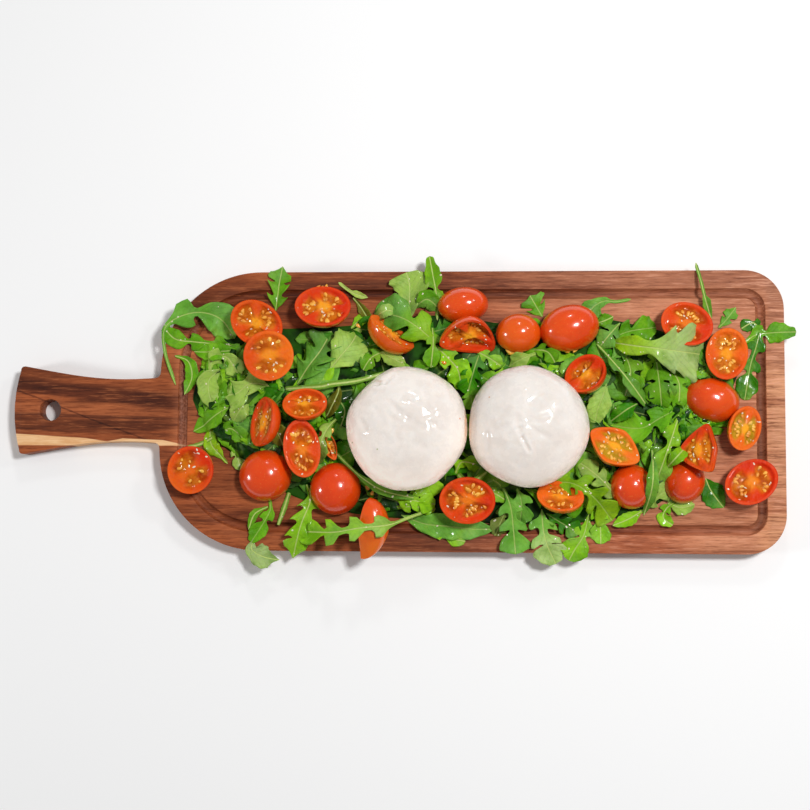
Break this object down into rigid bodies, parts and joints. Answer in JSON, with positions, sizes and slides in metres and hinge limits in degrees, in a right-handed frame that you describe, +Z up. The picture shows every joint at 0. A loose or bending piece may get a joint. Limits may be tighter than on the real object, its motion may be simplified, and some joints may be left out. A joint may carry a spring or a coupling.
{
  "type": "burrata salad on serving board",
  "caption": "Serving board with a waisted handle and a juice groove, carrying soft burrata balls on a heap of salad leaves with halved cherry tomatoes.",
  "frame": {"origin": "middle of the rectangular body's underside", "axes": "+X along the board, away from its handle; +Y across it; +Z up, out of the face that carries the food"},
  "size_m": [0.4747, 0.1906, 0.063],
  "materials": {
    "board_wood": "oiled walnut-brown hardwood with its grain along the board",
    "burrata": "wet milky-white cheese skin",
    "tomato": "glossy red skin and wet orange-red cut flesh",
    "salad_leaf": "satin green leaves with pale ribs"
  },
  "bodies": {
    "root": {"serving_board": "board_wood", "burrata_left": "burrata", "burrata_right": "burrata", "tomato_half_01": "tomato", "tomato_half_02": "tomato", "tomato_half_03": "tomato", "tomato_half_04": "tomato", "tomato_half_05": "tomato", "tomato_half_06": "tomato", "tomato_half_07": "tomato", "tomato_half_08": "tomato", "tomato_half_09": "tomato", "tomato_half_10": "tomato", "tomato_half_11": "tomato", "tomato_half_12": "tomato", "tomato_half_13": "tomato", "tomato_half_14": "tomato", "tomato_half_15": "tomato", "tomato_half_16": "tomato", "tomato_half_17": "tomato", "tomato_half_18": "tomato", "tomato_half_19": "tomato", "tomato_half_20": "tomato", "tomato_half_21": "tomato", "tomato_half_22": "tomato", "tomato_half_23": "tomato", "tomato_half_24": "tomato", "tomato_half_25": "tomato", "tomato_half_26": "tomato", "tomato_half_27": "tomato", "tomato_half_28": "tomato", "rocket_salad": "salad_leaf", "rocket_leaf_1": "salad_leaf", "rocket_leaf_2": "salad_leaf", "rocket_leaf_3": "salad_leaf", "rocket_leaf_4": "salad_leaf", "rocket_leaf_5": "salad_leaf", "rocket_leaf_6": "salad_leaf", "rocket_leaf_7": "salad_leaf", "rocket_leaf_8": "salad_leaf", "rocket_leaf_9": "salad_leaf", "rocket_leaf_10": "salad_leaf"}
  },
  "joints": []
}
